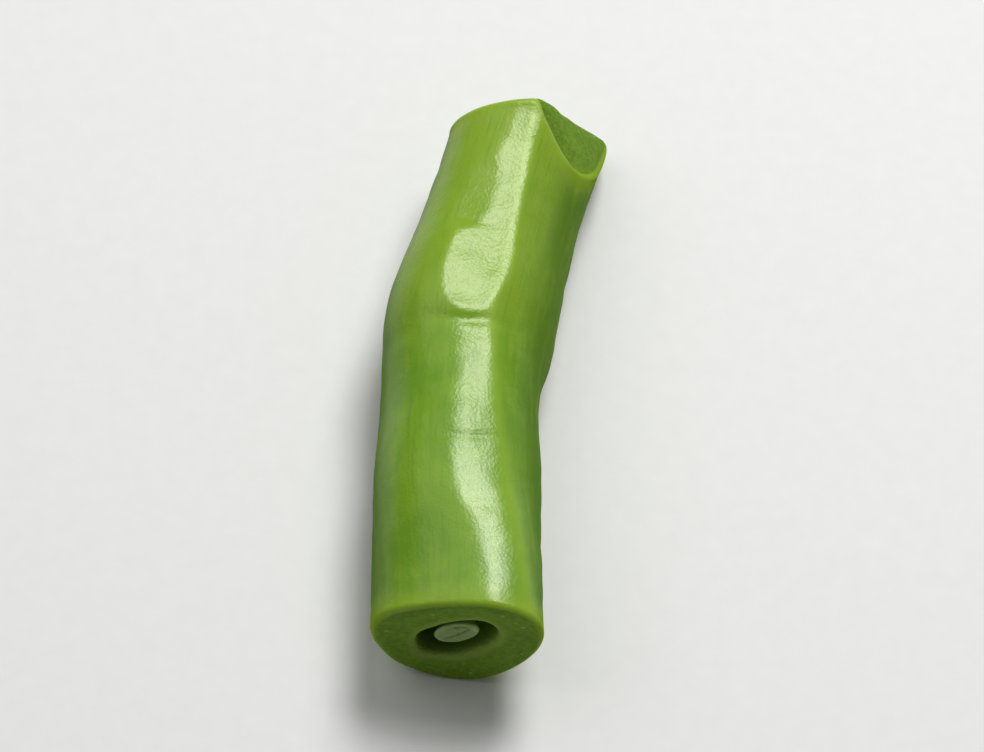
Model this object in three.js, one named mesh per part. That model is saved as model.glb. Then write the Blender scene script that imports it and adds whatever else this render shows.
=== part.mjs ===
// One cut length of green bean pod, lying on its side.
//
// The pod runs along +Y, with its near cut at the -Y end, and bends towards +X on the surface that it
// lies on. Both ends are knife cuts. Each opens the end of a seed chamber, and the near one holds what
// the knife left of a seed. Millimetres, +Z up; angles round the pod start at the top, towards +X.

import * as THREE from 'three';

const { cos, sin, sqrt, exp, log, max, PI } = Math;
const { smoothstep } = THREE.MathUtils;
const degrees = PI / 180;

// Length and bend: a straight line that turns smoothly into a second, slanting one.
const podRun = 33.2; // along Y, between the middles of the two cut faces
const bendSlope = 0.28; // sideways run of the far stretch, for each mm along Y
const bendAt = 17.8;
const bendSoftness = 2.1;

// Thickness of the pod.
const plainRadius = 4.5; // between two seeds, before the far taper
const taper = { from: 22.5, to: 30, drop: 0.22 }; // the pod gets thinner after its third seed
const ovalShare = 0.015; // taller along the seams' plane than across it

// Each seed swells the pod round it, somewhat more across the seams' plane than along it. The near cut
// goes through the first seed, and the far cut stops short of the last.
const seeds = [
  { at: -1.5, spread: 4.5, rise: 0.2 },
  { at: 8.5, spread: 4.5, rise: 0.27 },
  { at: 20.2, spread: 3.2, rise: 0.28 },
  { at: 36, spread: 3.5, rise: 0.42 },
];
const swellAcross = 1.1;
const swellAlongSeams = 0.8;

// The two seams, which twist slowly along the pod: the one that the seeds hang from, and the one opposite.
const seamAngleNear = 47 * degrees;
const seamAngleFar = -3 * degrees;
const seedSeam = { rise: 0.12, sharpness: 30, sinks: { from: 16, to: 21 } }; // gone in the far stretch
const backSeam = { rise: 0.16, sharpness: 30 };
const seamValley = { depth: 0.12, sharpness: 7 };

// Both ends are squeezed out of round, longest towards `angle`, and grow so from one place to the other:
// two lobes make an oval and three a soft triangle. The far stretch's flank towards +X is flattened too.
const squeezes = [
  { angle: 45 * degrees, lobes: 2, share: 0.08, from: 9, to: 3 },
  { angle: -72 * degrees, lobes: 3, share: 0.045, from: 9, to: 3 },
  { angle: -50 * degrees, lobes: 2, share: 0.085, from: 15, to: 20 },
];
const flatFlank = { angle: 60 * degrees, sharpness: 3, depth: 0.2, from: 17, to: 28 };

// Knife cuts: a plane each, which falls back by `slant` towards +X and by `lean` towards the top.
// A second stroke took a slice off the far end's upper flank, from `start` outside the middle line.
const slice = { angle: 56 * degrees, start: 2.7, slope: 2.45, softness: 0.3 };
const nearCut = { y: 0, slant: -0.12, lean: 0.035, inward: 1 };
const farCut = { y: podRun, slant: -0.36, lean: 0.08, inward: -1, slice };
const edgeRadius = 0.4; // the skin's rounded edge at a cut
const dishDepth = 0.22; // how far a cut face sinks towards its chamber
const mouthRounding = 0.25;

// Seed chambers, longer towards the seams than across.
const nearChamber = { long: 2.75, short: 1.6, depth: 4.4 };
const farChamber = { long: 2.1, short: 0.95, depth: 1.5 };

// What is left of the first seed, behind the near cut.
const seed = { long: 1.9, short: 1.15, halfLength: 3.3, recess: 0.5, crown: 0.12, rimRounding: 0.15 };

// Lying down, the pod settles until its underside is pressed a little flat, most of all under its seeds.
const settledShare = 0.65; // of a seed's swelling that still lifts the middle line
const pressed = 0.09;

// Mesh fineness.
const pointsRound = 60;
const rowsAlongSkin = 44;
const rowsOfEdge = 3;
const rowsOfFace = 4;
const rowsOfChamber = 5;
const rowsOfSeed = 6;

const bell = (distance, spread) => exp(-((distance / spread) ** 2));
const bump = (angle, sharpness) => exp(sharpness * (cos(angle) - 1));
const mix = (a, b, share) => a + (b - a) * share;
const softMin = (a, b, softness) => a - softness * log(1 + exp((a - b) / softness));

// The middle line's place and its sideways slope at a distance y along the pod.
function middleX(y) {
  return bendSlope * bendSoftness * log(1 + exp((y - bendAt) / bendSoftness));
}

function middleSlope(y) {
  return bendSlope / (1 + exp(-(y - bendAt) / bendSoftness));
}

function seamAngle(y) {
  return mix(seamAngleNear, seamAngleFar, y / podRun);
}

function unswollenRadius(y) {
  return plainRadius - taper.drop * smoothstep(y, taper.from, taper.to);
}

function swell(y) {
  return seeds.reduce((sum, { at, spread, rise }) => sum + rise * bell(y - at, spread), 0);
}

function squeezed(y, angle) {
  return squeezes.reduce((sum, { angle: longest, lobes, share, from, to }) => {
    return sum + share * cos(lobes * (angle - longest)) * smoothstep((y - from) / (to - from), 0, 1);
  }, 0);
}

// Distance from the middle line to the skin: a round that the seeds swell, with a ridge along each seam
// between two shallow valleys, and the flattened flank.
function skinRadius(y, angle) {
  const fromSeam = angle - seamAngle(y);
  const swollen = swell(y) * mix(swellAlongSeams, swellAcross, sin(fromSeam) ** 2);
  const oval = 1 + ovalShare * cos(2 * fromSeam) + squeezed(y, angle);
  const round = (unswollenRadius(y) + swollen) * oval;
  const seedRidge = seedSeam.rise * (1 - smoothstep(y, seedSeam.sinks.from, seedSeam.sinks.to));
  const ridges = seedRidge * bump(fromSeam, seedSeam.sharpness)
    + backSeam.rise * bump(fromSeam + PI, backSeam.sharpness);
  const valleys = seamValley.depth * (bump(fromSeam, seamValley.sharpness)
    + bump(fromSeam + PI, seamValley.sharpness));
  const flank = flatFlank.depth * bump(angle - flatFlank.angle, flatFlank.sharpness)
    * smoothstep(y, flatFlank.from, flatFlank.to);
  return round + ridges - valleys - flank;
}

function middleZ(y) {
  return (unswollenRadius(y) + settledShare * swell(y)) * (1 + squeezed(y, PI)) - pressed;
}

// A point that lies `radius` from the middle line, square to it. Nothing reaches below the surface.
function place(y, angle, radius) {
  const slope = middleSlope(y);
  const norm = sqrt(1 + slope * slope);
  const side = radius * sin(angle);
  const z = middleZ(y) + radius * cos(angle);
  return new THREE.Vector3(middleX(y) + side / norm, y - side * slope / norm, max(z, 0));
}

// Where a cut crosses a line along the pod, `radius` from its middle.
function cutAt(cut, angle, radius) {
  const plane = cut.y + cut.inward * radius * (cut.slant * sin(angle) + cut.lean * cos(angle));
  if (!cut.slice) return plane;
  const { start, slope, softness } = cut.slice;
  return softMin(plane, cut.y + slope * (start - radius * cos(angle - cut.slice.angle)), softness);
}

// Where the skin meets a cut, at an angle round the pod. The radius and the cut settle each other.
function rim(cut, angle) {
  let y = cut.y;
  for (let i = 0; i < 6; i++) y = cutAt(cut, angle, skinRadius(y, angle));
  return { y, radius: skinRadius(y, angle) };
}

// An oval's reach at an angle, with its long axis towards the seam.
function ovalRadius(long, short, fromSeam) {
  return long * short / sqrt((short * cos(fromSeam)) ** 2 + (long * sin(fromSeam)) ** 2);
}

function ringOf(pointAt) {
  return Array.from({ length: pointsRound }, (_, i) => pointAt(i / pointsRound * 2 * PI));
}

function rowsOf(count, rowAt) {
  return Array.from({ length: count }, (_, i) => rowAt(i / (count - 1)));
}

// Rows from the chamber's end, out over its wall and mouth, and across the cut face to the skin's edge.
function endRows(cut, hollow) {
  const mouth = (angle) => ovalRadius(hollow.long, hollow.short, angle - seamAngle(cut.y));
  const sunk = (angle, radius, depth) => {
    return place(cutAt(cut, angle, radius) + cut.inward * depth, angle, radius);
  };
  const chamber = rowsOf(rowsOfChamber, (share) => ringOf((angle) => {
    const turn = mix(12 * degrees, 90 * degrees, share);
    const depth = dishDepth + mouthRounding + hollow.depth * cos(turn);
    return sunk(angle, mouth(angle) * sin(turn), depth);
  }));
  const face = rowsOf(rowsOfFace, (share) => ringOf((angle) => {
    const inner = mouth(angle) + mouthRounding;
    const radius = mix(inner, rim(cut, angle).radius - edgeRadius, share);
    return sunk(angle, radius, dishDepth * (1 - share) ** 2);
  }));
  const edge = rowsOf(rowsOfEdge, (share) => ringOf((angle) => {
    const turn = mix(30 * degrees, 90 * degrees, share);
    const at = rim(cut, angle);
    const y = at.y + cut.inward * edgeRadius * (1 - cos(turn));
    return place(y, angle, at.radius - edgeRadius * (1 - sin(turn)));
  }));
  const bottom = place(cut.y + cut.inward * (dishDepth + mouthRounding + hollow.depth), 0, 0);
  return { bottom, rows: [...chamber, ...face, ...edge] };
}

// Rows of the skin between the two rounded edges.
function skinRows() {
  return rowsOf(rowsAlongSkin + 2, (share) => ringOf((angle) => {
    const from = rim(nearCut, angle).y + edgeRadius;
    const to = rim(farCut, angle).y - edgeRadius;
    const y = mix(from, to, share);
    return place(y, angle, skinRadius(y, angle));
  })).slice(1, -1);
}

// One closed mesh over rows of points, each row a ring, with a point at either end to close it.
function closedMesh(first, rows, last) {
  const points = [first, ...rows.flat(), last];
  const index = [];
  const at = (row, i) => 1 + row * pointsRound + i % pointsRound;
  for (let i = 0; i < pointsRound; i++) {
    index.push(0, at(0, i + 1), at(0, i));
    for (let row = 0; row + 1 < rows.length; row++) {
      const [a, b, c, d] = [at(row, i), at(row, i + 1), at(row + 1, i + 1), at(row + 1, i)];
      index.push(a, b, c, a, c, d);
    }
    index.push(points.length - 1, at(rows.length - 1, i), at(rows.length - 1, i + 1));
  }
  const geometry = new THREE.BufferGeometry().setFromPoints(points);
  geometry.setIndex(index);
  geometry.computeVertexNormals();
  return geometry;
}

function makePod() {
  const near = endRows(nearCut, nearChamber);
  const far = endRows(farCut, farChamber);
  const rows = [...near.rows, ...skinRows(), ...far.rows.reverse()];
  return closedMesh(near.bottom, rows, far.bottom);
}

// The seed's cut face, a little crowned and behind the pod's own, then its round back.
function makeSeed() {
  const faceY = (angle, radius, depth) => cutAt(nearCut, angle, radius) + seed.recess + depth;
  const reach = (angle, y) => {
    const along = (y - seeds[0].at) / seed.halfLength;
    return ovalRadius(seed.long, seed.short, angle - seamAngle(0)) * sqrt(max(1 - along * along, 0));
  };
  const face = rowsOf(3, (share) => ringOf((angle) => {
    const radius = mix(0.4, 1, share) * (reach(angle, seed.recess) - seed.rimRounding);
    return place(faceY(angle, radius, -seed.crown * (1 - share)), angle, radius);
  }));
  const backEnd = seeds[0].at + seed.halfLength;
  const back = rowsOf(rowsOfSeed, (share) => ringOf((angle) => {
    const y = mix(seed.recess + seed.rimRounding, backEnd, share ** 0.5 * 0.97);
    const radius = reach(angle, y);
    const lean = cutAt(nearCut, angle, radius) * (1 - share);
    return place(y + lean, angle, radius);
  }));
  const front = place(seed.recess - seed.crown, 0, 0);
  return closedMesh(front, [...face, ...back], place(backEnd, 0, 0));
}

function podMaterial() {
  return new THREE.MeshStandardMaterial({ color: 0x6f9a2f, roughness: 0.3, metalness: 0 });
}

function seedMaterial() {
  return new THREE.MeshStandardMaterial({ color: 0x9db56a, roughness: 0.4, metalness: 0 });
}

function named(name, geometry, material) {
  const mesh = new THREE.Mesh(geometry, material);
  mesh.name = name;
  return mesh;
}

const bean = new THREE.Group();
bean.add(named('pod', makePod(), podMaterial()));
bean.add(named('seed', makeSeed(), seedMaterial()));

// The origin is on the surface, under the middle of the bean's box.
const box = new THREE.Box3().setFromObject(bean);
bean.position.set(-(box.min.x + box.max.x) / 2, -(box.min.y + box.max.y) / 2, -box.min.z);

export default bean;
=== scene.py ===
"""Dresses the cut length of green bean: its skin, cut faces, seed chambers and the rest of its seed.

Forms are worked out in millimetres, in the pod's own frame. There the near cut's middle is at y = 0, the
pod runs along +Y, and an angle round it starts at the top and turns towards +X. A finished surface is
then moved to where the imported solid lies, in metres.
"""

import bpy
import numpy as np
from mathutils import Matrix, Vector


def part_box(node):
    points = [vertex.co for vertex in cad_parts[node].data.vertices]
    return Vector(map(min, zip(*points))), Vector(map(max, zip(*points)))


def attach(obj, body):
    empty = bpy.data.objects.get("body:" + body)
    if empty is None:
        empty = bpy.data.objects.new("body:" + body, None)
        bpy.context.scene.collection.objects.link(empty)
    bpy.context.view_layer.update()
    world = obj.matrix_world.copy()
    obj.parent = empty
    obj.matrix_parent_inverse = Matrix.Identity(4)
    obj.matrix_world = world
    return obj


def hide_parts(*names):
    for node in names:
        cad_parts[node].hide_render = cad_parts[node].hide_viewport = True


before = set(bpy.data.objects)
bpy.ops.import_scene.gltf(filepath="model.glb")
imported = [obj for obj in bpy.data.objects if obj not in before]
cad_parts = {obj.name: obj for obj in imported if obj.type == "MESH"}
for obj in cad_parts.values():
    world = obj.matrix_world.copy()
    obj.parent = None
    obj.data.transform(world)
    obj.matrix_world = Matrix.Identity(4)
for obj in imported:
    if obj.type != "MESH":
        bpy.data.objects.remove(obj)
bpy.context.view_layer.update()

MM = 0.001
TURN = 2 * np.pi

# --- The pod's form, the same as the solid's -------------------------------------------------------

POD_RUN = 33.2
BEND_SLOPE, BEND_AT, BEND_SOFTNESS = 0.28, 17.8, 2.1
PLAIN_RADIUS = 4.5
TAPER_FROM, TAPER_TO, TAPER_DROP = 22.5, 30.0, 0.22
OVAL_SHARE = 0.015
SEEDS = ((-1.5, 4.5, 0.2), (8.5, 4.5, 0.27), (20.2, 3.2, 0.28), (36.0, 3.5, 0.42))  # at, spread, rise
SWELL_ACROSS, SWELL_ALONG_SEAMS = 1.1, 0.8
SEAM_ANGLE_NEAR, SEAM_ANGLE_FAR = np.radians(47), np.radians(-3)
SEED_SEAM_RISE, BACK_SEAM_RISE, SEAM_SHARPNESS = 0.12, 0.16, 30
RIDGE_SINKS_FROM, RIDGE_SINKS_TO = 16, 21
VALLEY_DEPTH, VALLEY_SHARPNESS = 0.12, 7
FLANK_ANGLE, FLANK_SHARPNESS, FLANK_DEPTH = np.radians(60), 3, 0.2
FLANK_FROM, FLANK_TO = 17, 28
SQUEEZES = (  # longest towards, in degrees; lobes; share; from y, to y
    (45, 2, 0.08, 9, 3),
    (-72, 3, 0.045, 9, 3),
    (-50, 2, 0.085, 15, 20),
)
SETTLED_SHARE, PRESSED = 0.65, 0.09
EDGE_RADIUS = 0.4
DISH_DEPTH = 0.22
MOUTH_ROUNDING = 0.25
NEAR = {"y": 0.0, "slant": -0.12, "lean": 0.035, "inward": 1, "long": 2.75, "short": 1.6, "depth": 4.4}
FAR = {"y": POD_RUN, "slant": -0.36, "lean": 0.08, "inward": -1, "long": 2.1, "short": 0.95, "depth": 1.5}
SLICE_ANGLE, SLICE_START, SLICE_SLOPE, SLICE_SOFTNESS = np.radians(56), 2.7, 2.45, 0.3
SEED_LONG, SEED_SHORT, SEED_HALF_LENGTH, SEED_RECESS = 1.9, 1.15, 3.3, 0.5
SEED_CROWN, SEED_RIM_ROUNDING = 0.12, 0.15

# --- Fine form, which only this script adds --------------------------------------------------------

CORD_RISE, CORD_SHARPNESS = 0.035, 200  # the seam's own narrow cord, on its broad ridge
GROOVE_DEPTH, GROOVE_SHARPNESS, GROOVE_OFFSET = 0.02, 140, np.radians(-14)  # beside the cord
BACK_CORD_SHARE, BACK_GROOVE_SHARE = 0.6, 0.7  # how strong both are on the back seam
CREASE_WAVE, CREASE_WAVES_ROUND = 0.25, 3  # creases wander along the pod by this much, so often round it
CREASES = (  # y, angle in degrees, reach along, reach round in degrees, depth
    (18.2, 1, 0.42, 22, 0.13),
    (10.8, 12, 0.32, 13, 0.07),
    (24.6, -12, 0.35, 12, 0.05),
    (17.0, -48, 0.60, 18, 0.07),
    (5.2, 96, 0.55, 20, 0.07),
    (24.5, 120, 0.70, 26, 0.10),
    (11.0, 200, 0.60, 22, 0.06),
    (28.5, -95, 0.50, 18, 0.07),
)
STRIP_RISE, STRIP_FROM, STRIP_TO = 0.25, 18, 23  # the seed seam's broad strip in the far stretch
STRIP_DRIFT = np.radians(7)  # by which the strip and its line leave the seam's even turn
FLATS = (  # y, half length, angle that the flat faces in degrees, depth below the plain skin there
    (8.2, 2.8, 8, 0.08),
    (21.8, 3.2, 7, 0.07),
    (27.6, 7.0, 9, -0.12),
    (26.3, 2.4, -5, 0.06),
)
FLAT_SOFTNESS, FLAT_EASE, FLAT_LEAST_COSINE = 0.035, 0.2, 0.2
SHOULDER_FROM, SHOULDER_TO = 1, 6  # where the soft shoulder by the near cut starts to fade, and ends
SHOULDER_RISE, SHOULDER_DIP = (0.22, 50, 22), (0.12, 3, 18)  # height, then angle and width in degrees
LUMPS = {"seed": 11, "count": 40, "turns": 4, "length": 5.5, "height": 0.03}
WRINKLES = {"seed": 23, "count": 90, "turns": 9, "length": 1.45, "height": 0.006}
PIMPLES = {"seed": 37, "count": 120, "turns": 26, "length": 0.9, "height": 0.002}
CUT_LUMPS = {"seed": 51, "count": 60, "turns": 7, "length": 1.3, "height": 0.035}
COAT_FROM, COAT_TO = 0.82, 0.88  # shares of the way out over the seed's face, where its coat begins
COAT_CREST, COAT_GROOVE = (0.03, 0.94, 0.05), (0.05, 0.84, 0.04)  # height, share of the way out, width
LEAF_LINE_DEPTH, LEAF_LINE_WIDTH = 0.09, 0.07  # between the seed's two leaves
LEAF_LINE_BEND, LEAF_LINE_PACE, LEAF_LINE_PHASE = 0.04, 1.2, 0.5
LEAF_LINE_FADES, LEAF_LINE_ENDS = 0.7, 0.8
STALK_AT, STALK_LENGTH, STALK_SHARPNESS, STALK_SPREAD = 1.45, 1.9, 110, 0.2
SEED_LUMPS = {"seed": 63, "count": 50, "turns": 6, "length": 0.8, "height": 0.012}

# --- Where the finish changes ----------------------------------------------------------------------

YELLOW_FROM, YELLOW_TO = 16, 20  # the far stretch is a little yellower
WET_TO, DRY_FROM = 7.5, 10  # the stretch by the near cut is wetter
FLANK_SHADE_TURN = 0.12  # the flanks' deeper green, partly painted shade, reaches higher towards +X

# --- Rows and columns of the surfaces --------------------------------------------------------------

COLUMNS, PLAIN_COLUMNS = 256, 60
SKIN_ROWS, EDGE_ROWS, FACE_ROWS, LIP_ROWS, CHAMBER_ROWS = 216, 9, 26, 6, 20
CHAMBER_FIRST, LIP_FIRST = 4, 12  # degrees at which the chamber's wall and the lip start
SEED_COLUMNS, SEED_FACE_ROWS, SEED_RIM_ROWS, SEED_BACK_ROWS = 192, 40, 6, 60
SEED_FIRST_SHARE = 0.03  # of the way out, for the seed face's first ring
SEED_BACK_CROWDING, SEED_BACK_REACH = 0.6, 0.985  # rows crowd towards the seed's back end, and stop short
TIP_STEP = 0.01  # from the first and last rings to the points that close them
RIM_ROUNDS = 8


def smooth(value, low, high):
    """0 below low, 1 above high, and an S between them, 3t^2 - 2t^3."""
    t = np.clip((value - low) / (high - low), 0, 1)
    return t * t * (3 - 2 * t)


def mix(a, b, share):
    """a at share 0, b at share 1, and a straight line between them."""
    return a + (b - a) * share


def bell(distance, spread):
    """A bell curve, e^-(distance / spread)^2."""
    return np.exp(-((distance / spread) ** 2))


def bump(angle, sharpness):
    """A bell curve on the circle, e^(sharpness (cos angle - 1))."""
    return np.exp(sharpness * (np.cos(angle) - 1))


def ripples(along, angle, seed, count, turns, length, height):
    """A sum of `count` cosine waves over along and angle, each with its own direction and phase.

    A wave makes a whole number of turns round the angle, up to `turns`, so that the sum closes on itself.
    Its length along is `length` or more. The sum is scaled to a spread of `height`.
    """
    draw = np.random.default_rng(seed)
    total = np.zeros(np.broadcast(along, angle).shape)
    for _ in range(count):
        rounds = draw.integers(-turns, turns + 1)
        pace = TURN / length * draw.uniform(-1, 1)
        total += np.cos(rounds * angle + pace * along + draw.uniform(0, TURN))
    return total * height * np.sqrt(2 / count)


def middle_x(y):
    """The middle line's place across: 0, then a slope of BEND_SLOPE, by slope times softness times
    log(1 + e^((y - bend) / softness))."""
    return BEND_SLOPE * BEND_SOFTNESS * np.logaddexp(0, (y - BEND_AT) / BEND_SOFTNESS)


def middle_slope(y):
    """The middle line's sideways slope, the derivative of middle_x."""
    return BEND_SLOPE / (1 + np.exp(-(y - BEND_AT) / BEND_SOFTNESS))


def seam_angle(y):
    """The angle of the seam that the seeds hang from. It turns evenly along the pod."""
    return mix(SEAM_ANGLE_NEAR, SEAM_ANGLE_FAR, y / POD_RUN)


def unswollen_radius(y):
    """The pod's radius without its seeds, which drops a little towards the far end."""
    return PLAIN_RADIUS - TAPER_DROP * smooth(y, TAPER_FROM, TAPER_TO)


def squeezed(y, angle):
    """How much longer the squeezed section is at an angle, as a share of the radius: a cosine of two or
    three lobes for each squeeze, which grows to its full share from one y to another."""
    return sum(share * np.cos(lobes * (angle - np.radians(degrees)))
               * smooth((y - start) / (end - start), 0, 1)
               for degrees, lobes, share, start, end in SQUEEZES)


def swell(y):
    """How far the seeds swell the pod at y: one bell curve for each."""
    return sum(rise * bell(y - at, spread) for at, spread, rise in SEEDS)


def middle_z(y):
    """The middle line's height over the surface that the pod lies on."""
    return (unswollen_radius(y) + SETTLED_SHARE * swell(y)) * (1 + squeezed(y, np.pi)) - PRESSED


def seam_line(y):
    """The angle of the seed seam's visible line, which drifts a little as its strip begins."""
    return seam_angle(y) + STRIP_DRIFT * smooth(y, STRIP_FROM, STRIP_TO)


def seam_ridge(y):
    """How much of the seed seam's ridge is left: it sinks away in the far stretch."""
    return 1 - smooth(y, RIDGE_SINKS_FROM, RIDGE_SINKS_TO)


def plain_skin(y, angle):
    """The solid's skin: a swollen, squeezed oval, plus a ridge on each seam, less the valleys beside the
    ridges and the flattened flank."""
    from_seam = angle - seam_angle(y)
    swollen = swell(y) * mix(SWELL_ALONG_SEAMS, SWELL_ACROSS, np.sin(from_seam) ** 2)
    oval = 1 + OVAL_SHARE * np.cos(2 * from_seam) + squeezed(y, angle)
    body = (unswollen_radius(y) + swollen) * oval
    ridges = (SEED_SEAM_RISE * seam_ridge(y) * bump(from_seam, SEAM_SHARPNESS)
              + BACK_SEAM_RISE * bump(from_seam + np.pi, SEAM_SHARPNESS))
    valleys = VALLEY_DEPTH * (bump(from_seam, VALLEY_SHARPNESS)
                              + bump(from_seam + np.pi, VALLEY_SHARPNESS))
    flank = (FLANK_DEPTH * bump(angle - FLANK_ANGLE, FLANK_SHARPNESS)
             * smooth(y, FLANK_FROM, FLANK_TO))
    return body + ridges - valleys - flank


def flattened(y, angle, radius):
    """Presses flats into the skin. A flat is a plane, middle / cos(angle - its own), that eases away from
    the pod at both its ends by the fourth power. Skin and plane join softly by
    a - s log(1 + e^((a - b) / s))."""
    for at, half_length, degrees, depth in FLATS:
        facing = np.radians(degrees)
        middle = plain_skin(np.array(float(at)), facing) - depth
        ease = FLAT_EASE * ((y - at) / half_length) ** 4
        plane = (middle + ease) / np.maximum(np.cos(angle - facing), FLAT_LEAST_COSINE)
        radius = radius - FLAT_SOFTNESS * np.logaddexp(0, (radius - plane) / FLAT_SOFTNESS)
    return radius


def swelling(angle, height, degrees, around):
    """A bell-shaped rise round one angle, which falls off over `around` degrees."""
    return height * bump(angle - np.radians(degrees), 1 / np.radians(around) ** 2)


def skin_lines(y, angle):
    """The seams' narrow cords, the grooves beside them, and the creases."""
    from_seam = angle - seam_line(y)
    cords = CORD_RISE * (bump(from_seam, CORD_SHARPNESS)
                         + BACK_CORD_SHARE * bump(from_seam + np.pi, CORD_SHARPNESS))
    beside = from_seam - GROOVE_OFFSET
    grooves = GROOVE_DEPTH * (bump(beside, GROOVE_SHARPNESS)
                              + BACK_GROOVE_SHARE * bump(beside + np.pi, GROOVE_SHARPNESS))
    lines = cords - grooves
    for at, degrees, along, around, depth in CREASES:
        wave = CREASE_WAVE * np.sin(CREASE_WAVES_ROUND * angle + at)
        lines = lines - bell(y - at - wave, along) * swelling(angle, depth, degrees, around)
    return lines


def fine_skin(y, angle):
    """The finished skin's distance from the middle line: the plain skin with the seam's strip, the near
    end's shoulder and soft lumps, pressed flat in places, then its seams' lines and creases and two sizes
    of wrinkle."""
    strip = STRIP_RISE * smooth(y, STRIP_FROM, STRIP_TO) * bump(angle - seam_line(y), SEAM_SHARPNESS)
    shoulder = swelling(angle, *SHOULDER_RISE) - swelling(angle, *SHOULDER_DIP)
    shoulder = (1 - smooth(y, SHOULDER_FROM, SHOULDER_TO)) * shoulder
    radius = flattened(y, angle, plain_skin(y, angle) + strip + shoulder + ripples(y, angle, **LUMPS))
    return radius + skin_lines(y, angle) + ripples(y, angle, **WRINKLES) + ripples(y, angle, **PIMPLES)


def place(y, angle, radius):
    """The point at `radius` from the middle line, in the plane that stands square to it at y. Nothing
    reaches below the surface that the pod lies on."""
    slope = middle_slope(y)
    norm = np.sqrt(1 + slope ** 2)
    side = radius * np.sin(angle)
    up = middle_z(y) + radius * np.cos(angle)
    return np.stack((middle_x(y) + side / norm, y - side * slope / norm, np.maximum(up, 0)), axis=-1)


def cut_at(cut, angle, radius):
    """Where a cut crosses a line along the pod: a plane, and at the far end the lower of that plane and a
    second one, joined softly by a - s log(1 + e^((a - b) / s))."""
    tilt = cut["slant"] * np.sin(angle) + cut["lean"] * np.cos(angle)
    plane = cut["y"] + cut["inward"] * radius * tilt
    if cut is NEAR:
        return plane
    sliced = cut["y"] + SLICE_SLOPE * (SLICE_START - radius * np.cos(angle - SLICE_ANGLE))
    return plane - SLICE_SOFTNESS * np.logaddexp(0, (plane - sliced) / SLICE_SOFTNESS)


def rim(cut, angle, skin):
    """(y, radius) where the skin meets a cut. The two settle each other in a few rounds."""
    y = np.full_like(angle, cut["y"])
    for _ in range(RIM_ROUNDS):
        y = cut_at(cut, angle, skin(y, angle))
    return y, skin(y, angle)


def oval_radius(long, short, from_seam):
    """An oval's reach at an angle from its long axis."""
    return long * short / np.hypot(short * np.cos(from_seam), long * np.sin(from_seam))


# --- Surfaces --------------------------------------------------------------------------------------


def shares(count, low=0.0, high=1.0):
    """`count` even steps from low to high, as a column to set against a row of angles."""
    return np.linspace(low, high, count)[:, None]


def end_rows(cut, angle, skin, rough):
    """Rows from a chamber's end, up its wall, over its mouth's lip, across the cut face and round the
    skin's edge. Returns y, radius, how far each row lies below the skin, and how far outside the mouth.

    The chamber is half an ellipsoid, the lip and the edge are quarter circles, and the face dips to its
    mouth by the square of its share. `rough` adds the cut's own unevenness.
    """
    rim_y, rim_radius = rim(cut, angle, skin)
    mouth = oval_radius(cut["long"], cut["short"], angle - seam_angle(cut["y"]))
    turn = np.radians(shares(CHAMBER_ROWS, CHAMBER_FIRST, 90))
    radius = [mouth * np.sin(turn)]
    depth = [DISH_DEPTH + MOUTH_ROUNDING + cut["depth"] * np.cos(turn) + 0 * angle]
    turn = np.radians(shares(LIP_ROWS, LIP_FIRST, 90))
    radius.append(mouth + MOUTH_ROUNDING * (1 - np.cos(turn)))
    depth.append(DISH_DEPTH + MOUTH_ROUNDING * (1 - np.sin(turn)) + 0 * angle)
    share = shares(FACE_ROWS + 1)[1:]
    radius.append(mix(mouth + MOUTH_ROUNDING, rim_radius - EDGE_RADIUS, share))
    depth.append(DISH_DEPTH * (1 - share) ** 2 + 0 * angle)
    radius, depth = np.concatenate(radius), np.concatenate(depth)
    face_y = cut_at(cut, angle, radius) + cut["inward"] * depth
    sunk = np.maximum(depth - DISH_DEPTH, 0)
    below = rim_radius - radius + sunk
    fade = smooth(below, EDGE_RADIUS, 2 * EDGE_RADIUS)
    face_y = face_y + fade * ripples(radius, angle, **CUT_LUMPS) * rough
    turn = np.radians(shares(EDGE_ROWS + 1, 0, 90))[1:]
    edge_y = rim_y + cut["inward"] * EDGE_RADIUS * (1 - np.cos(turn))
    edge_radius = rim_radius - EDGE_RADIUS * (1 - np.sin(turn))
    y = np.concatenate((face_y, edge_y))
    outside = np.concatenate((radius - sunk, edge_radius)) - mouth
    radius = np.concatenate((radius, edge_radius))
    return y, radius, np.concatenate((below, rim_radius - edge_radius)), outside


def pod_rows(columns, skin, rough):
    """Rows over the whole pod, from the near chamber's end to the far chamber's: y, angle, radius, depth
    below the skin, distance outside a chamber's mouth, and distance along the skin from a cut."""
    angle = np.linspace(0, TURN, columns, endpoint=False)[None, :]
    near_y, near_radius, near_below, near_outside = end_rows(NEAR, angle, skin, rough)
    far_y, far_radius, far_below, far_outside = (part[::-1] for part in end_rows(FAR, angle, skin, rough))
    y = mix(near_y[-1:], far_y[:1], shares(SKIN_ROWS + 2)[1:-1])
    from_cut = np.minimum(y - near_y[-1:], far_y[:1] - y)
    y_all = np.concatenate((near_y, y, far_y))
    return {
        "y": y_all,
        "angle": np.broadcast_to(angle, y_all.shape),
        "radius": np.concatenate((near_radius, skin(y, angle), far_radius)),
        "below_skin": np.concatenate((near_below, np.zeros_like(y), far_below)),
        "outside_mouth": np.concatenate((near_outside, np.full_like(y, PLAIN_RADIUS), far_outside)),
        "from_cut": np.concatenate((0 * near_y, from_cut, 0 * far_y)),
    }


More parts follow.
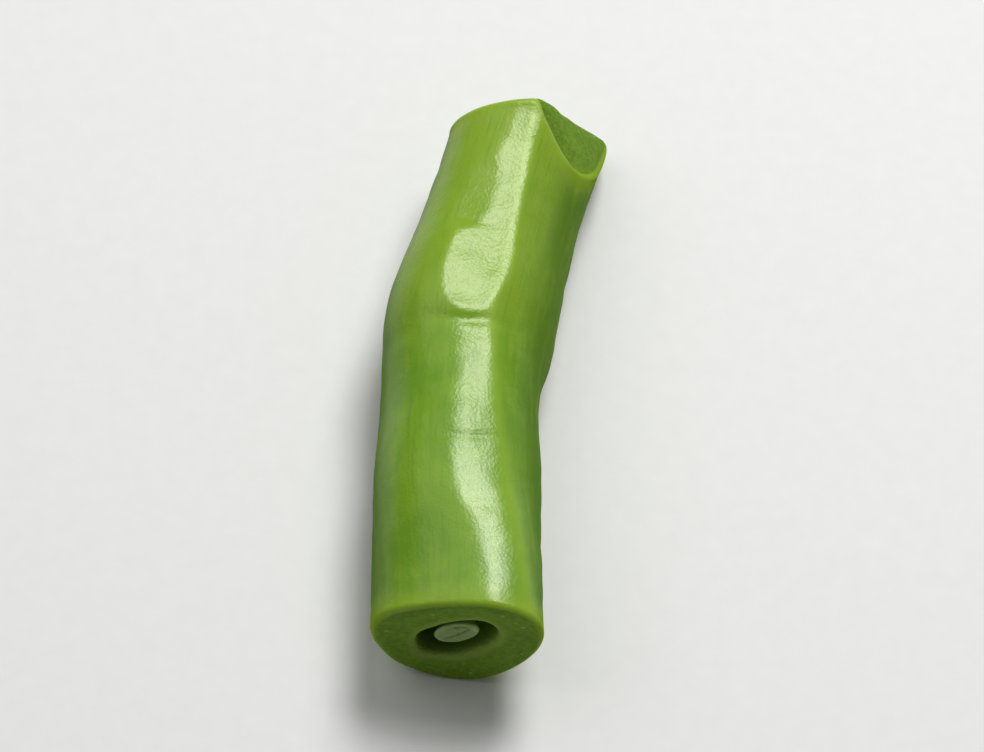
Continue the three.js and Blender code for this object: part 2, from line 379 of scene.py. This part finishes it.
def closed_faces(rows, columns):
    """Quads between neighbouring rings, and a fan of triangles to a point at either end. Point 0 closes
    the first ring and the last point closes the last one."""
    this = 1 + np.arange(rows * columns).reshape(rows, columns)
    beside = np.roll(this, -1, axis=1)
    quads = np.stack((this[:-1], beside[:-1], beside[1:], this[1:]), axis=-1).reshape(-1, 4)
    last = rows * columns + 1
    first_fan = np.stack((0 * this[0], beside[0], this[0]), axis=-1)
    last_fan = np.stack((0 * this[-1] + last, this[-1], beside[-1]), axis=-1)
    return quads.tolist() + first_fan.tolist() + last_fan.tolist()


def surface(name, rings, first, last, material, **fields):
    """A closed piece from rings of points in millimetres, closed by a point at either end. Each field
    becomes a named attribute of the points; at the two closing points it has its ring's mean."""
    rows, columns = rings.shape[:2]
    points = np.concatenate(([first], rings.reshape(-1, 3), [last])) + to_solid
    mesh = bpy.data.meshes.new(name)
    mesh.from_pydata((points * MM).tolist(), [], closed_faces(rows, columns))
    for key, values in fields.items():
        flat = values.reshape(rows * columns, -1)
        ends = values[0].reshape(columns, -1).mean(0), values[-1].reshape(columns, -1).mean(0)
        flat = np.concatenate((ends[:1], flat, ends[1:]))
        vector = flat.shape[1] == 3
        attribute = mesh.attributes.new(key, "FLOAT_VECTOR" if vector else "FLOAT", "POINT")
        attribute.data.foreach_set("vector" if vector else "value", flat.ravel().astype(np.float32))
    mesh.polygons.foreach_set("use_smooth", np.ones(len(mesh.polygons), bool))
    mesh.materials.append(material)
    piece = bpy.data.objects.new(name, mesh)
    bpy.context.scene.collection.objects.link(piece)
    return piece


def solid_offset():
    """How far the pod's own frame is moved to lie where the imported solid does. The plain surface's box
    and the solid's box have the same middle, and both stand on the surface."""
    rows = pod_rows(PLAIN_COLUMNS, plain_skin, 0)
    points = place(rows["y"], rows["angle"], rows["radius"]).reshape(-1, 3)
    low, high = (np.array(corner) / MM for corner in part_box("pod"))
    move = (low + high) / 2 - (points.min(0) + points.max(0)) / 2
    move[2] = low[2]
    return move


def straight(y, angle, radius):
    """The point's place if the pod were straight. A pattern read there runs along the pod and round
    it."""
    return np.stack((radius * np.sin(angle), y + 0 * angle, radius * np.cos(angle)), axis=-1)


def make_pod():
    """The pod, one closed surface from chamber to chamber, over its cut faces and its skin."""
    rows = pod_rows(COLUMNS, fine_skin, 1)
    y, angle, radius = rows["y"], rows["angle"], rows["radius"]
    first = place(y[0].mean() + TIP_STEP, 0.0, 0.0)
    last = place(y[-1].mean() - TIP_STEP, 0.0, 0.0)
    from_seam = angle - seam_line(y)
    seam = np.maximum(bump(from_seam, CORD_SHARPNESS), bump(from_seam + np.pi, CORD_SHARPNESS))
    return surface(
        "bean_pod", place(y, angle, radius), first, last, pod_finish(),
        # side is 0 on top and 1 underneath; the finish paints the flanks' deeper green, partly painted
        # shade, from it
        straight=straight(y, angle, radius), side=(1 - np.cos(angle + FLANK_SHADE_TURN)) / 2,
        below_skin=rows["below_skin"], outside_mouth=rows["outside_mouth"], from_cut=rows["from_cut"],
        seam=seam, yellowing=smooth(y, YELLOW_FROM, YELLOW_TO), wetness=1 - smooth(y, WET_TO, DRY_FROM),
    )


def seed_reach(y, angle):
    """The seed's outside: an ellipsoid round the first seed's middle, oval towards the seam, with the
    short stalk that it hangs from."""
    from_seam = angle - SEAM_ANGLE_NEAR
    along = (y - SEEDS[0][0]) / SEED_HALF_LENGTH
    body = oval_radius(SEED_LONG, SEED_SHORT, from_seam) * np.sqrt(np.maximum(1 - along ** 2, 0))
    stalk = STALK_LENGTH * bump(from_seam, STALK_SHARPNESS) * bell(y - STALK_AT, STALK_SPREAD)
    return body + stalk + ripples(y, angle, **SEED_LUMPS)


def coat_ring(share, height, at, width):
    """A ring on the seed's face, bell-shaped across, at that share of the way out."""
    return height * bell(share - at, width)


def make_seed():
    """What the knife left of the first seed: a crowned cut face, with the coat's ring and the line
    between the two seed leaves, then a rounded rim and the seed's back."""
    angle = np.linspace(0, TURN, SEED_COLUMNS, endpoint=False)[None, :]
    face_reach = seed_reach(SEED_RECESS, angle) - SEED_RIM_ROUNDING
    share = shares(SEED_FACE_ROWS, SEED_FIRST_SHARE, 1)
    radius = share * face_reach
    coat = coat_ring(share, *COAT_CREST) - coat_ring(share, *COAT_GROOVE)
    from_seam = angle - SEAM_ANGLE_NEAR
    lengthwise, sideways = radius * np.cos(from_seam), radius * np.sin(from_seam)
    from_line = sideways + LEAF_LINE_BEND * np.sin(LEAF_LINE_PACE * lengthwise + LEAF_LINE_PHASE)
    line = bell(from_line, LEAF_LINE_WIDTH) * (1 - smooth(share, LEAF_LINE_FADES, LEAF_LINE_ENDS))
    rise = (SEED_CROWN * (1 - share ** 2) + coat - LEAF_LINE_DEPTH * line
            + ripples(radius * 2, angle, **SEED_LUMPS))
    face_y = cut_at(NEAR, angle, radius) + SEED_RECESS - rise
    turn = np.radians(shares(SEED_RIM_ROWS + 1, 0, 90))[1:]
    rim_y = cut_at(NEAR, angle, face_reach) + SEED_RECESS + SEED_RIM_ROUNDING * (1 - np.cos(turn))
    rim_radius = face_reach + SEED_RIM_ROUNDING * np.sin(turn)
    back_end = SEEDS[0][0] + SEED_HALF_LENGTH
    run = shares(SEED_BACK_ROWS + 1)[1:] ** SEED_BACK_CROWDING * SEED_BACK_REACH
    back_y = mix(rim_y[-1:], back_end, run)
    y = np.concatenate((face_y, rim_y, back_y))
    radius = np.concatenate((radius, rim_radius, seed_reach(back_y, angle)))
    outer = np.ones((len(y) - len(share), SEED_COLUMNS))
    coat_share = np.concatenate((smooth(share, COAT_FROM, COAT_TO) + 0 * angle, outer))
    line = np.concatenate((line, 0 * outer))
    angle = np.broadcast_to(angle, y.shape)
    first = place(face_y[0].mean(), 0.0, 0.0)
    return surface(
        "bean_seed", place(y, angle, radius), first, place(back_end, 0.0, 0.0), seed_finish(),
        straight=straight(y, angle, radius), coat=coat_share, leaf_line=line,
    )


# --- Finishes --------------------------------------------------------------------------------------


def srgb(red, green, blue):
    """A colour given as 0 to 255 on screen, as the linear numbers that a shader takes."""
    values = (channel / 255 for channel in (red, green, blue))
    linear = (v / 12.92 if v <= 0.04045 else ((v + 0.055) / 1.055) ** 2.4 for v in values)
    return (*linear, 1.0)


class Wire:
    """A number that a finish works out at each point. Sums and products of wires add Math nodes."""

    def __init__(self, finish, socket):
        self.finish, self.socket = finish, socket

    def _math(self, operation, *values):
        return self.finish.node("ShaderNodeMath", {"operation": operation}, dict(enumerate(values)))

    def __add__(self, other):
        return self._math("ADD", self, other)

    def __sub__(self, other):
        return self._math("SUBTRACT", self, other)

    def __rsub__(self, other):
        return self._math("SUBTRACT", other, self)

    def __mul__(self, other):
        return self._math("MULTIPLY", self, other)

    __radd__ = __add__
    __rmul__ = __mul__


class Finish:
    """A material and its Principled shader, with the few kinds of node that the finishes here use."""

    def __init__(self, name, **fixed):
        self.material = bpy.data.materials.new(name)
        self.material.use_nodes = True
        self.nodes = self.material.node_tree.nodes
        self.links = self.material.node_tree.links
        self.shader = next(n for n in self.nodes if n.type == "BSDF_PRINCIPLED")
        self.feed(self.shader, fixed)

    def feed(self, node, values):
        """Sets sockets to numbers and colours, or links wires to them."""
        for key, value in values.items():
            socket = node.inputs[key]
            if isinstance(value, Wire):
                self.links.new(value.socket, socket)
            else:
                socket.default_value = value

    def node(self, kind, settings, values, output=0):
        """Adds a node of that kind. Its settings come first, then its sockets' values or wires."""
        node = self.nodes.new(kind)
        for key, value in settings.items():
            setattr(node, key, value)
        self.feed(node, values)
        return Wire(self, node.outputs[output])

    def attribute(self, name, output="Fac"):
        """A field that the surface carries at its points."""
        return self.node("ShaderNodeAttribute", {"attribute_name": name}, {}, output)

    def step(self, value, low, high):
        """0 where value is below low, 1 above high, and an S between them."""
        values = {"Value": value, "From Min": low, "From Max": high}
        return self.node("ShaderNodeMapRange", {"interpolation_type": "SMOOTHSTEP"}, values)

    def stretched(self, vector, lengths, turn=0.0):
        """Places for a pattern whose parts are that long each way. It may be turned about the pod."""
        values = {"Vector": vector, "Scale": lengths, "Rotation": (0.0, turn, 0.0)}
        return self.node("ShaderNodeMapping", {"vector_type": "TEXTURE"}, values)

    def noise(self, vector, scale, detail=3.0, roughness=0.5, distortion=0.0):
        """Soft random patches, 0 to 1, about 1 / scale wide."""
        values = {"Vector": vector, "Scale": scale, "Detail": detail, "Roughness": roughness,
                  "Distortion": distortion}
        return self.node("ShaderNodeTexNoise", {}, values, "Fac")

    def cells(self, vector, scale):
        """Distance to the nearest of many scattered points, for grain made of rounded cells."""
        return self.node("ShaderNodeTexVoronoi", {}, {"Vector": vector, "Scale": scale}, "Distance")

    def blend(self, share, a, b):
        """Colour a where share is 0, b where it is 1."""
        values = {0: share, 6: a, 7: b}
        return self.node("ShaderNodeMix", {"data_type": "RGBA"}, values, 2)

    def bump(self, height_mm):
        """Relief given in millimetres, as a normal."""
        return self.node("ShaderNodeBump", {}, {"Height": height_mm, "Distance": MM}, "Normal")

    def dull(self, share, values):
        """Mixes in that share of a second shader, one without gloss."""
        glossy = Wire(self, self.shader.outputs[0])
        plain = self.node("ShaderNodeBsdfPrincipled", {}, values)
        both = self.node("ShaderNodeMixShader", {}, {0: share, 1: glossy, 2: plain})
        output = next(n for n in self.nodes if n.type == "OUTPUT_MATERIAL")
        self.feed(output, {"Surface": both})


SKIN_GREEN = srgb(122, 165, 32)
SKIN_DEEP = srgb(106, 152, 26)
SKIN_YELLOW = srgb(140, 171, 48)
SKIN_STREAK = srgb(98, 138, 28)
# Deeper green down the flanks and underneath: partly the skin's own colour, partly painted shade.
FLANK_GREEN_AND_SHADE = srgb(71, 109, 16)
# Paler green along the skin by each cut: painted light showing through the thin skin there.
CUT_EDGE_GLOW_GREEN = srgb(146, 176, 54)
SEAM_GREEN = srgb(150, 184, 66)
FLESH_GREEN = srgb(92, 128, 26)
FLESH_PALE = srgb(112, 146, 38)
VEIN_PALE = srgb(140, 168, 70)
LINING_PALE = srgb(126, 152, 62)
# Darker green inside the chambers: painted shade.
CHAMBER_SHADE_GREEN = srgb(84, 116, 30)
SEED_FLESH = srgb(126, 152, 84)
SEED_COAT = srgb(146, 170, 100)
SEED_LINE = srgb(74, 100, 36)
STREAK_SIZE, THREAD_SIZE, STROKE_SIZE = (0.6, 4.0, 0.6), (0.22, 5.0, 0.22), (3.0, 9.0, 0.14)
STROKE_TURN = 0.5  # the knife's strokes across the cuts slope by this much
SCATTER = {
    "Subsurface Weight": 0.25,
    "Subsurface Radius": (0.9 * MM, 1.3 * MM, 0.35 * MM),
    "Subsurface Scale": 1.0,
}
MOIST = SCATTER | {
    "Coat Weight": 0.1,
    "Coat Roughness": 0.13,
    "Specular IOR Level": 0.46,
    "Specular Tint": (0.95, 1.0, 0.75, 1.0),
}


def pod_finish():
    """Waxy, wet green skin with long faint streaks and paler seams. Paler green along the cut edges is
    painted light showing through the thin skin there. Down its flanks and underneath the skin is a deeper
    green, partly its own and partly painted shade, and duller. On the cuts, moist grainy flesh with knife
    strokes across it, pale veins under the skin and a pale, spongy lining, and painted shade deeper in
    the chambers."""
    finish = Finish("green_bean_pod", **MOIST)
    at = finish.attribute("straight", "Vector")
    below = finish.attribute("below_skin")
    outside = finish.attribute("outside_mouth")
    from_cut = finish.attribute("from_cut")
    seam = finish.attribute("seam")
    # The flanks and underside, where the skin is painted a deeper green, partly painted shade, and is
    # made duller.
    flank = finish.step(finish.attribute("side"), 0.06, 0.38)
    yellowing = finish.attribute("yellowing")
    wetness = finish.attribute("wetness")
    streaks = finish.noise(finish.stretched(at, STREAK_SIZE), 1.0, 4, 0.6)
    threads = finish.noise(finish.stretched(at, THREAD_SIZE), 1.0, 2, 0.5)
    clouds = finish.noise(at, 0.22, 3, 0.55, 0.6)
    grain = finish.noise(at, 3.4, 4, 0.65)
    cells = finish.cells(at, 5.5)
    drops = finish.noise(at, 1.3, 2, 0.5)

    skin = finish.blend(finish.step(clouds, 0.36, 0.66), SKIN_DEEP, SKIN_GREEN)
    skin = finish.blend(yellowing * 0.6, skin, SKIN_YELLOW)
    # Painted shade, partly the skin's own deeper green: darker down the flanks and underneath.
    skin = finish.blend(flank * 0.8, skin, FLANK_GREEN_AND_SHADE)
    skin = finish.blend(finish.step(streaks, 0.44, 0.72) * (0.4 - flank * 0.2), skin, SKIN_YELLOW)
    skin = finish.blend(finish.step(threads, 0.52, 0.72) * 0.35, skin, SKIN_STREAK)
    skin = finish.blend(seam * 0.55, skin, SEAM_GREEN)
    # Painted light showing through the thin skin: paler green along each cut.
    skin = finish.blend((1 - finish.step(from_cut + grain * 0.6, 0.2, 1.9)) * 0.6, skin, CUT_EDGE_GLOW_GREEN)

    strokes = finish.noise(finish.stretched(at, STROKE_SIZE, STROKE_TURN), 1.0, 2, 0.5)
    veins = 1 - finish.step(finish.cells(at, 1.25), 0.10, 0.22)
    vein_ring = finish.step(below, 0.55, 0.75) * (1 - finish.step(below, 1.15, 1.4))
    lining = 1 - finish.step(outside + grain * 0.4, 0.5, 0.95)
    # Painted shade: darker green inside the chambers.
    chamber_shade_mask = 1 - finish.step(outside, -0.9, 0.05)
    flesh = finish.blend(finish.step(grain * 0.7 + strokes * 0.3, 0.38, 0.66), FLESH_GREEN, FLESH_PALE)
    flesh = finish.blend(veins * vein_ring * 0.8, flesh, VEIN_PALE)
    flesh = finish.blend(lining * 0.8, flesh, LINING_PALE)
    flesh = finish.blend(chamber_shade_mask * 0.75, flesh, CHAMBER_SHADE_GREEN)
    on_cut = finish.step(below + grain * 0.12, 0.22, 0.42)
    colour = finish.blend(on_cut, skin, flesh)

    skin_relief_mm = streaks * 0.012 + grain * 0.010 + cells * 0.010 + drops * 0.025
    cut_relief_mm = cells * 0.04 + grain * 0.05 + strokes * 0.03
    normal = finish.bump(skin_relief_mm * (1 - on_cut) + cut_relief_mm * on_cut)
    on_skin = 1 - on_cut
    dry = flank * on_skin
    edge = (1 - finish.step(from_cut, 0.1, 0.8)) * on_skin
    finish.feed(finish.shader, {
        "Base Color": colour,
        "Roughness": 0.27 + grain * 0.08 + on_cut * 0.3 + dry * 0.2,
        "Coat Weight": (0.09 + wetness * 0.10 - yellowing * 0.04) * on_skin * (1 - flank),
        "Normal": normal,
    })
    plain = {"Base Color": colour, "Roughness": 0.8, "Normal": normal, "Specular IOR Level": 0.0}
    finish.dull(dry * 0.75 + edge * 0.4 + on_cut * 0.6, SCATTER | plain)
    return finish.material


def seed_finish():
    """Moist, pale seed flesh inside a thin paler coat, darker where the two seed leaves meet."""
    finish = Finish("green_bean_seed", **MOIST)
    at = finish.attribute("straight", "Vector")
    coat = finish.attribute("coat")
    leaf_line = finish.attribute("leaf_line")
    grain = finish.noise(at, 5.0, 4, 0.6)
    colour = finish.blend(coat + grain * 0.2, SEED_FLESH, SEED_COAT)
    colour = finish.blend(leaf_line * 0.8, colour, SEED_LINE)
    finish.feed(finish.shader, {
        "Base Color": colour,
        "Roughness": 0.32 + grain * 0.14,
        "Normal": finish.bump(grain * 0.03),
    })
    return finish.material


# --- Building the pieces ---------------------------------------------------------------------------

to_solid = solid_offset()
for piece, node in ((make_pod(), "pod"), (make_seed(), "seed")):
    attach(piece, "root")
    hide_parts(node)


# --- Studio ----------------------------------------------------------------------------------------

CAMERA_ELEVATION = np.radians(62)
CAMERA_DISTANCE = 0.31
CAMERA_LENS = 200
KEY_DIRECTION = (0.25, 0.47, 0.83)
SOFTBOXES = {  # direction, distance, size, brightness
    "key_light": (KEY_DIRECTION, 0.40, (0.11, 0.13), 10.5),
    "key_glow": (KEY_DIRECTION, 0.41, (0.20, 0.23), 6.5),
    "fill_light": ((-0.5, 0.25, 0.83), 0.6, (0.5, 0.5), 1.0),
}
SURROUNDINGS = 0.12
TABLE_REACH = 2.5
TABLE_GRAIN = 900


def aim(thing, place_at, target):
    """Stands a camera or light at a place, looking at the target, with its own width level."""
    back = (Vector(place_at) - Vector(target)).normalized()
    right = (Vector((1, 0, 0)) - back * back.x).normalized()
    thing.location = place_at
    thing.rotation_euler = Matrix((right, back.cross(right), back)).transposed().to_euler()
    bpy.context.scene.collection.objects.link(thing)


def add_camera(target):
    """A long lens that looks down at the target from the near cut's side."""
    data = bpy.data.cameras.new("studio_camera")
    data.lens = CAMERA_LENS
    data.clip_start, data.clip_end = 0.01, 20
    camera = bpy.data.objects.new("studio_camera", data)
    back = Vector((0, -np.cos(CAMERA_ELEVATION), np.sin(CAMERA_ELEVATION)))
    aim(camera, target + back * CAMERA_DISTANCE, target)
    bpy.context.scene.camera = camera


def add_softbox(name, direction, distance, size, brightness, target):
    """A rectangular light. Brightness is what a mirror would show of it, so power is that times pi and
    the light's area."""
    data = bpy.data.lights.new(name, "AREA")
    data.shape = "RECTANGLE"
    data.size, data.size_y = size
    data.energy = brightness * np.pi * size[0] * size[1]
    light = bpy.data.objects.new(name, data)
    aim(light, target + Vector(direction).normalized() * distance, target)


def add_floor():
    """A wide pale table top, slightly rough."""
    finish = Finish("pale_table", Roughness=0.7)
    grain = finish.noise(finish.node("ShaderNodeTexCoord", {}, {}, "Object"), TABLE_GRAIN, 3)
    pale = finish.blend(grain, srgb(235, 235, 233), srgb(241, 241, 239))
    finish.feed(finish.shader, {"Base Color": pale, "Normal": finish.bump(grain * 0.01)})
    mesh = bpy.data.meshes.new("table_top")
    corners = [(x * TABLE_REACH, y * TABLE_REACH, 0) for x, y in ((-1, -1), (1, -1), (1, 1), (-1, 1))]
    mesh.from_pydata(corners, [], [(0, 1, 2, 3)])
    mesh.materials.append(finish.material)
    floor = bpy.data.objects.new("table_top", mesh)
    bpy.context.scene.collection.objects.link(floor)


def light_studio(target):
    """A soft light above and behind, brighter in its middle, a broad weak one overhead, and pale
    surroundings."""
    for name, values in SOFTBOXES.items():
        add_softbox(name, *values, target)
    world = bpy.data.worlds.new("studio")
    world.use_nodes = True
    background = next(n for n in world.node_tree.nodes if n.type == "BACKGROUND")
    background.inputs["Color"].default_value = (1, 1, 1, 1)
    background.inputs["Strength"].default_value = SURROUNDINGS
    bpy.context.scene.world = world
    bpy.context.scene.view_settings.view_transform = "Standard"


low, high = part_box("pod")
middle = (low + high) / 2
add_camera(middle)
light_studio(middle)
add_floor()
